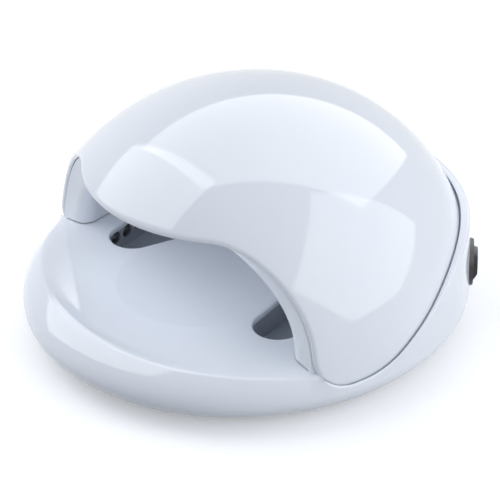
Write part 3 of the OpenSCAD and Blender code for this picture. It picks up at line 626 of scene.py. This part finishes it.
# Thumb emitters and their boards
# Three dark round lenses in each well, ribbed all round, soldered to a small green board that stands
# behind the side wall.

BANDS = 3.183                          # bands in a metre of the wave texture at scale 1


def ribbed(name, shade, dark, pitch_mm, roughness, metallic, bump_mm, coat):
    """Round ribs pitch_mm apart in height, with painted shade in the valleys, on a lightly mottled body.
    """
    material, tree, out, place = new_material(name)
    ribs = add(tree, "ShaderNodeTexWave", {"wave_type": "BANDS", "bands_direction": "Z"},
               {"Vector": place, "Scale": 1000 / pitch_mm / BANDS, "Distortion": 0.3, "Detail": 1.0,
                "Detail Scale": 2.0})
    mottle = add(tree, "ShaderNodeTexNoise", None, {"Vector": place, "Scale": 1000 / 1.3, "Detail": 4.0})
    # painted shade: the colour darkens in the ribs' valleys and lightens on their crests, mixed with a
    # random mottle
    rib_shade_and_mottle = add(tree, "ShaderNodeMath", {"operation": "MULTIPLY"},
               {0: ribs.outputs["Fac"], 1: mottle.outputs["Fac"]})
    colour = add(tree, "ShaderNodeMix", {"data_type": "RGBA"},
                 {"Factor": rib_shade_and_mottle.outputs[0], 6: linear(dark), 7: linear(shade)})
    rough = add(tree, "ShaderNodeMapRange", None,
                {"Value": mottle.outputs["Fac"], "From Min": 0.3, "From Max": 0.7,
                 "To Min": roughness * 0.7, "To Max": roughness * 1.3})
    bump = add(tree, "ShaderNodeBump", None,
               {"Height": ribs.outputs["Fac"], "Strength": 0.8, "Distance": bump_mm / 1000})
    shader = add(tree, "ShaderNodeBsdfPrincipled", None,
                 {"Base Color": colour.outputs[2], "Roughness": rough.outputs["Result"],
                  "Metallic": metallic, "Coat Weight": coat, "Coat Roughness": 0.06,
                  "Normal": bump.outputs["Normal"]})
    tree.links.new(shader.outputs["BSDF"], out.inputs["Surface"])
    return material


def circuit(name, mask, track, pitch_mm):
    """Solder mask over copper: tracks about pitch_mm apart show as slightly lighter raised lines
    under the gloss, in patches where a slow noise is high."""
    material, tree, out, place = new_material(name)
    cells = add(tree, "ShaderNodeTexVoronoi", {"feature": "DISTANCE_TO_EDGE"},
                {"Vector": place, "Scale": 1000 / pitch_mm, "Randomness": 0.55})
    line = add(tree, "ShaderNodeMapRange", None,
               {"Value": cells.outputs["Distance"], "From Min": 0.03, "From Max": 0.07,
                "To Min": 1.0, "To Max": 0.0})
    patch = add(tree, "ShaderNodeTexNoise", None, {"Vector": place, "Scale": 1000 / 9.0, "Detail": 1.0})
    here = add(tree, "ShaderNodeMapRange", None,
               {"Value": patch.outputs["Fac"], "From Min": 0.45, "From Max": 0.52})
    shown = add(tree, "ShaderNodeMath", {"operation": "MULTIPLY"},
                {0: line.outputs["Result"], 1: here.outputs["Result"]})
    colour = add(tree, "ShaderNodeMix", {"data_type": "RGBA"},
                 {"Factor": shown.outputs[0], 6: linear(mask), 7: linear(track)})
    bump = add(tree, "ShaderNodeBump", None,
               {"Height": shown.outputs[0], "Strength": 0.6, "Distance": 0.00004})
    shader = add(tree, "ShaderNodeBsdfPrincipled", None,
                 {"Base Color": colour.outputs[2], "Roughness": 0.32, "Coat Weight": 0.4,
                  "Coat Roughness": 0.12, "Normal": bump.outputs["Normal"]})
    tree.links.new(shader.outputs["BSDF"], out.inputs["Surface"])
    return material


# Near black lens with rings of fine ribs that catch the light; the crests are painted lighter and the
# grooves darker, as painted highlight and shade.
DARK_LENS = ribbed("dark_lens", "#4a474c", "#1b191c", 0.75, 0.24, 0.0, 0.08, coat=0.6)
dress(DARK_LENS, "thumb_leds_left", "thumb_leds_right")
# Green glass epoxy with its tracks under the mask.
GREEN_BOARD = circuit("green_board", "#1d5a37", "#2f7c4d", 1.9)
dress(GREEN_BOARD, "thumb_board_left", "thumb_board_right")


# Ceiling light
# Above the window: an opal lens, a white aluminium-core board with twelve ultraviolet emitters, and
# an extruded heat sink, held to the liner by four screws.

def brushed(name, shade, dark, roughness, grain_mm, stretch, bump_mm):
    """Metal with fine lines: noise stretched along one object axis moves roughness and height, and a
    slow cloud the colour."""
    material, tree, out, place = new_material(name)
    long = add(tree, "ShaderNodeMapping", {"vector_type": "POINT"}, {"Vector": place, "Scale": stretch})
    lines = add(tree, "ShaderNodeTexNoise", None,
                {"Vector": long.outputs[0], "Scale": 1000 / grain_mm, "Detail": 4.0})
    cloud = add(tree, "ShaderNodeTexNoise", None, {"Vector": place, "Scale": 1000 / 6.0, "Detail": 2.0})
    colour = add(tree, "ShaderNodeMix", {"data_type": "RGBA"},
                 {"Factor": cloud.outputs["Fac"], 6: linear(dark), 7: linear(shade)})
    rough = add(tree, "ShaderNodeMapRange", None,
                {"Value": lines.outputs["Fac"], "From Min": 0.3, "From Max": 0.7,
                 "To Min": roughness * 0.65, "To Max": roughness * 1.35})
    bump = add(tree, "ShaderNodeBump", None,
               {"Height": lines.outputs["Fac"], "Strength": 0.5, "Distance": bump_mm / 1000})
    shader = add(tree, "ShaderNodeBsdfPrincipled", None,
                 {"Base Color": colour.outputs[2], "Metallic": 1.0,
                  "Roughness": rough.outputs["Result"], "Normal": bump.outputs["Normal"]})
    tree.links.new(shader.outputs["BSDF"], out.inputs["Surface"])
    return material


# Opal acrylic: light goes in and comes back from just under the surface.
OPAL = moulded("frosted_opal_lens", "#f3f5f8", "#e9edf3", 0.42, 0.05, 0.3, 0.003, ior=1.49, scatter=0.35)
dress(OPAL, "ceiling_lens")
# White solder mask, with the tracks as faint relief.
WHITE_BOARD = circuit("white_board", "#e9ebe8", "#d9dcd6", 2.4)
dress(WHITE_BOARD, "ceiling_board")
# Emitter: clear silicone dome over a pale yellow grey package.
EMITTER = moulded("emitter_silicone", "#d9d4b4", "#c8c2a0", 0.16, 0.05, 0.8, 0.002, ior=1.41, coat=1.0,
                  scatter=0.2)
dress(EMITTER, "ceiling_leds")
# Clear anodised aluminium, drawn along the fins.
SINK = brushed("sink_aluminium", "#c2c5c9", "#a9adb2", 0.34, 0.25, (1, 0.04, 1), 0.006)
dress(SINK, "heat_sink")


# Wiring and control board
# The board under the tray with its driver chip, two electrolytic capacitors, a copper choke and
# nylon connectors, and the grey cable that climbs behind the tunnel to the ceiling light.

# Moulded black plastic, matt and faintly grainy.
BLACK = moulded("black_plastic_satin", "#202124", "#18191b", 0.38, 0.08, 0.35, 0.006)
# Nylon: warm white and slightly waxy.
NYLON = moulded("nylon_natural", "#ece6d6", "#e2dbc8", 0.36, 0.06, 0.6, 0.003, scatter=0.2)
# Enamelled copper wire wound side by side, with painted shade between the turns and lighter crests on
# them.
COPPER = ribbed("copper_wire", "#d08a52", "#7a3f1c", 0.5, 0.22, 1.0, 0.1, coat=0.5)
# Soft grey jacket with a slow wave of handling.
CABLE = moulded("cable_jacket_grey", "#8d9096", "#7d8086", 0.46, 0.08, 1.2, 0.01)
dress(GREEN_BOARD, "control_board")
dress(BLACK, "driver_chip")
dress(COPPER, "power_coil")
dress(NYLON, "board_connectors")
dress(CABLE, "hood_cable")

# Shrink sleeve of the capacitors: blue, with a pale minus stripe and the bare aluminium can on top.
SLEEVE_TOP = (0.02170, 0.02178)        # heights between which the sleeve ends, m
STRIPE_Y = 0.0472
CAPACITOR, tree, out, place = new_material("capacitor_sleeve")
split = add(tree, "ShaderNodeSeparateXYZ", None, {"Vector": place})
foil = add(tree, "ShaderNodeMapRange", None,
           {"Value": split.outputs["Z"], "From Min": SLEEVE_TOP[0], "From Max": SLEEVE_TOP[1]})
stripe = add(tree, "ShaderNodeMath", {"operation": "LESS_THAN"}, {0: split.outputs["Y"], 1: STRIPE_Y})
ink = add(tree, "ShaderNodeTexNoise", None, {"Vector": place, "Scale": 1000 / 0.9, "Detail": 3.0})
colour = add(tree, "ShaderNodeMix", {"data_type": "RGBA"},
             {"Factor": ink.outputs["Fac"], 6: linear("#1c3f86"), 7: linear("#24509c")})
for where, over in ((stripe.outputs[0], "#b9c2cf"), (foil.outputs["Result"], "#c6c9cd")):
    colour = add(tree, "ShaderNodeMix", {"data_type": "RGBA"},
                 {"Factor": where, 6: colour.outputs[2], 7: linear(over)})
wrinkle = add(tree, "ShaderNodeBump", None,
              {"Height": ink.outputs["Fac"], "Strength": 0.4, "Distance": 0.00003})
shader = add(tree, "ShaderNodeBsdfPrincipled", None,
             {"Base Color": colour.outputs[2], "Metallic": foil.outputs["Result"], "Roughness": 0.27,
              "Normal": wrinkle.outputs["Normal"]})
tree.links.new(shader.outputs["BSDF"], out.inputs["Surface"])
dress(CAPACITOR, "capacitors")


# Bottom plate, feet and screws
# The flat cover of the underside with its vents, four rubber feet pressed into it, and the
# self-tapping screws that hold plate, hood, liner, ceiling light, wells and board.

# Spark-eroded satin white, duller than the housing.
SATIN_WHITE = moulded("white_abs_satin", "#e4e8ef", "#dde2ea", 0.42, 0.07, 0.5, 0.012)
# Black rubber, dull, with dust in its pores.
RUBBER = moulded("rubber_black", "#303133", "#252628", 0.78, 0.1, 0.7, 0.03)
# Bright zinc plating over steel.
STEEL = brushed("screw_steel", "#c9ccd0", "#b2b5b8", 0.24, 0.2, (1, 1, 1), 0.004)
dress(SATIN_WHITE, "bottom_plate")
dress(RUBBER, "rubber_feet")
dress(STEEL, "bottom_screws", "hood_screws", "liner_screws", "ceiling_screws", "well_screws",
      "control_screws", "inlet_nut")


# Switch and inlet
# A round black rocker switch in the collar at the rear right and a black inlet socket in the rear
# wall, both pressed or screwed in from outside. The rocker tips about its pin.

# Rolled brass strip, drawn upwards.
BRASS = brushed("blade_brass", "#d6b878", "#bd9c5a", 0.2, 0.2, (1, 1, 0.1), 0.004)
dress(BLACK, "switch_body", "inlet_socket")
dress(BRASS, "switch_blades")

# The rocker: the same black with white printed marks, an upright bar over a ring, in metres.
BAR_UP, BAR_SIZE = 0.0042, (0.00035, 0.0017)     # height of its middle, half width and half height
RING_DOWN, RING_R, RING_HALF = 0.0044, 0.0014, 0.00032
ROCKER, tree, out, place = new_material("rocker_black_marked")
own = add(tree, "ShaderNodeMapping", {"vector_type": "TEXTURE"},
          {"Vector": place, "Location": SWITCH / 1000, "Rotation": (0, 0, math.radians(-45))})
face = add(tree, "ShaderNodeSeparateXYZ", None, {"Vector": own.outputs[0]})
inside = []
for axis, middle, half in (("X", 0.0, BAR_SIZE[0]), ("Z", BAR_UP, BAR_SIZE[1])):
    off = add(tree, "ShaderNodeMath", {"operation": "SUBTRACT"}, {0: face.outputs[axis], 1: middle})
    size = add(tree, "ShaderNodeMath", {"operation": "ABSOLUTE"}, {0: off.outputs[0]})
    inside.append(add(tree, "ShaderNodeMath", {"operation": "LESS_THAN"}, {0: size.outputs[0], 1: half}))
bar = add(tree, "ShaderNodeMath", {"operation": "MULTIPLY"},
          {0: inside[0].outputs[0], 1: inside[1].outputs[0]})
down = add(tree, "ShaderNodeVectorMath", {"operation": "MULTIPLY_ADD"},
           {0: own.outputs[0], 1: (1, 0, 1), 2: (0, 0, RING_DOWN)})
far = add(tree, "ShaderNodeVectorMath", {"operation": "LENGTH"}, {0: down.outputs[0]})
off_ring = add(tree, "ShaderNodeMath", {"operation": "SUBTRACT"}, {0: far.outputs["Value"], 1: RING_R})
near_ring = add(tree, "ShaderNodeMath", {"operation": "ABSOLUTE"}, {0: off_ring.outputs[0]})
ring_mark = add(tree, "ShaderNodeMath", {"operation": "LESS_THAN"},
                {0: near_ring.outputs[0], 1: RING_HALF})
printed = add(tree, "ShaderNodeMath", {"operation": "MAXIMUM"},
              {0: bar.outputs[0], 1: ring_mark.outputs[0]})
grain = add(tree, "ShaderNodeTexNoise", None, {"Vector": place, "Scale": 1000 / 0.35, "Detail": 3.0})
body = add(tree, "ShaderNodeMix", {"data_type": "RGBA"},
           {"Factor": grain.outputs["Fac"], 6: linear("#18191b"), 7: linear("#222326")})
colour = add(tree, "ShaderNodeMix", {"data_type": "RGBA"},
             {"Factor": printed.outputs[0], 6: body.outputs[2], 7: linear("#e8e8e6")})
bump = add(tree, "ShaderNodeBump", None,
           {"Height": grain.outputs["Fac"], "Strength": 0.5, "Distance": 0.000006})
shader = add(tree, "ShaderNodeBsdfPrincipled", None,
             {"Base Color": colour.outputs[2], "Roughness": 0.3, "Normal": bump.outputs["Normal"]})
tree.links.new(shader.outputs["BSDF"], out.inputs["Surface"])
dress(ROCKER, "switch_rocker")


# Studio and camera
# A pale floor under the lamp, three soft boxes and two low ones round it, a small fill in its mouth,
# a dim room, and the photograph's long lens from the front right and above.

BOX_AWAY = 1.3                         # distance of the soft boxes, m
SHINE_AHEAD = 0.05                     # how much nearer the half that shows in the gloss stands
FILL_WAY = Vector((0, -0.8, 0.6))      # direction of the fill's back, away from its light
ROOM_LIGHT = 0.57
FLOOR_LIFT = 0.27                      # light of its own that the floor shows to the camera
FLOOR_FADE = (0.16, 0.5)               # radii between which the floor fades to white, m
LENS_MM = 179.8
CAMERA_AT = (0.73582, -0.64591, 0.63919)
LOOKS_AT = (0.00004, 0.00148, 0.03102)


def lamp_at(name, place, turned, size, strength, kind):
    """A rectangular area lamp with a place and turn in space. Strength is the brightness a mirror
    would see in it; kind says whether dull or mirror-like reflection uses it."""
    lamp = bpy.data.lights.new(name, "AREA")
    lamp.shape = "RECTANGLE"
    lamp.size, lamp.size_y = size
    lamp.energy = strength * math.pi * size[0] * size[1]
    made = bpy.data.objects.new(name, lamp)
    made.location = place
    made.rotation_mode = "QUATERNION"
    made.rotation_quaternion = turned
    made.visible_camera = False
    made.visible_diffuse = kind == "dull"
    made.visible_glossy = kind == "mirror"
    bpy.context.scene.collection.objects.link(made)


def soft_box(name, away, size, twist, shift, strength, shine):
    """A soft box on a plane in front of the object in a direction (azimuth from the front towards
    +X, elevation), moved on that plane by shift and turned there by twist. It lights the surface
    with strength and, where it shows in the gloss at all, shows with shine."""
    azimuth, elevation = (math.radians(v) for v in away)
    way = Vector((math.sin(azimuth) * math.cos(elevation), -math.cos(azimuth) * math.cos(elevation),
                  math.sin(elevation)))
    turned = way.to_track_quat("Z", "Y")
    place = Vector((0, 0, 0.05)) + BOX_AWAY * way + turned @ Vector((*shift, 0))
    turned.rotate(Matrix.Rotation(math.radians(twist), 3, way))
    lamp_at(name, place, turned, size, strength, "dull")
    if shine:
        lamp_at(name + "_shine", place - SHINE_AHEAD * way, turned, size, shine, "mirror")


soft_box("box_above", (-153, 45), (2.23, 1.53), 33, (0.015, 0.330), 0.05, 2.1)
soft_box("box_left", (-61, 49), (0.775, 1.31), -33, (0.026, -0.017), 1.4, 2.3)
soft_box("box_right", (123, 27), (1.36, 1.35), 30, (-0.092, -0.075), 0.9, 1.9)
soft_box("box_low_left", (-70, 5), (1.0, 0.5), 0, (0, 0), 3.6, 0)
soft_box("box_low_right", (110, 6), (1.0, 0.5), 0, (0, 0), 2.4, 0)
lamp_at("mouth_fill", (0, -0.064, 0.073), FILL_WAY.to_track_quat("Z", "X"), (0.014, 0.09), 2.6, "dull")

room = bpy.data.worlds.new("studio_room")
bpy.context.scene.world = room
room.use_nodes = True
tree = room.node_tree
tree.nodes.clear()


def seen_directly(tree):
    """1 for camera, glossy and transmission rays, 0 for the rays that light the object."""
    rays = add(tree, "ShaderNodeLightPath")
    seen = rays.outputs["Is Camera Ray"]
    for kind in ("Is Glossy Ray", "Is Transmission Ray"):
        seen = add(tree, "ShaderNodeMath", {"operation": "MAXIMUM"},
                   {0: seen, 1: rays.outputs[kind]}).outputs[0]
    return seen


dim = add(tree, "ShaderNodeBackground", None, {"Color": linear("#eef3fb"), "Strength": ROOM_LIGHT})
white = add(tree, "ShaderNodeBackground", None, {"Color": (1, 1, 1, 1), "Strength": 1.0})
skies = add(tree, "ShaderNodeMixShader", None,
            {0: seen_directly(tree), 1: dim.outputs[0], 2: white.outputs[0]})
add(tree, "ShaderNodeOutputWorld", None, {0: skies.outputs[0]})

# Matt paper: grey to the rays that light the object, pale where seen, and white further out.
floor_material, tree, out, place = new_material("pale_floor")
seen = seen_directly(tree)
shade = add(tree, "ShaderNodeMix", {"data_type": "RGBA"},
            {"Factor": seen, 6: linear("#95989c"), 7: linear("#f4f5f7")})
lift = add(tree, "ShaderNodeMath", {"operation": "MULTIPLY"}, {0: seen, 1: FLOOR_LIFT})
paper = add(tree, "ShaderNodeBsdfPrincipled", None,
            {"Base Color": shade.outputs[2], "Roughness": 0.6, "Emission Color": (1, 1, 1, 1),
             "Emission Strength": lift.outputs[0]})
far = add(tree, "ShaderNodeVectorMath", {"operation": "LENGTH"}, {0: place})
fade = add(tree, "ShaderNodeMapRange", {"interpolation_type": "SMOOTHSTEP"},
           {"Value": far.outputs["Value"], "From Min": FLOOR_FADE[0], "From Max": FLOOR_FADE[1]})
plain = add(tree, "ShaderNodeMath", {"operation": "MULTIPLY"}, {0: fade.outputs["Result"], 1: seen})
glow = add(tree, "ShaderNodeEmission", None, {"Color": (1, 1, 1, 1), "Strength": 1.0})
finish = add(tree, "ShaderNodeMixShader", None,
             {0: plain.outputs[0], 1: paper.outputs[0], 2: glow.outputs[0]})
tree.links.new(finish.outputs[0], out.inputs["Surface"])
floor_mesh = bpy.data.meshes.new("floor")
floor_mesh.from_pydata([(-4, -4, 0), (4, -4, 0), (4, 4, 0), (-4, 4, 0)], [], [(0, 1, 2, 3)])
floor_mesh.materials.append(floor_material)
floor = bpy.data.objects.new("floor", floor_mesh)
bpy.context.scene.collection.objects.link(floor)

lens = bpy.data.cameras.new("camera")
lens.lens = LENS_MM
lens.sensor_width = 36
lens.clip_start, lens.clip_end = 0.1, 20
camera = bpy.data.objects.new("camera", lens)
camera.location = CAMERA_AT
camera.rotation_euler = (Vector(LOOKS_AT) - camera.location).to_track_quat("-Z", "Y").to_euler()
bpy.context.scene.collection.objects.link(camera)
bpy.context.scene.camera = camera
bpy.context.scene.view_settings.view_transform = "Standard"
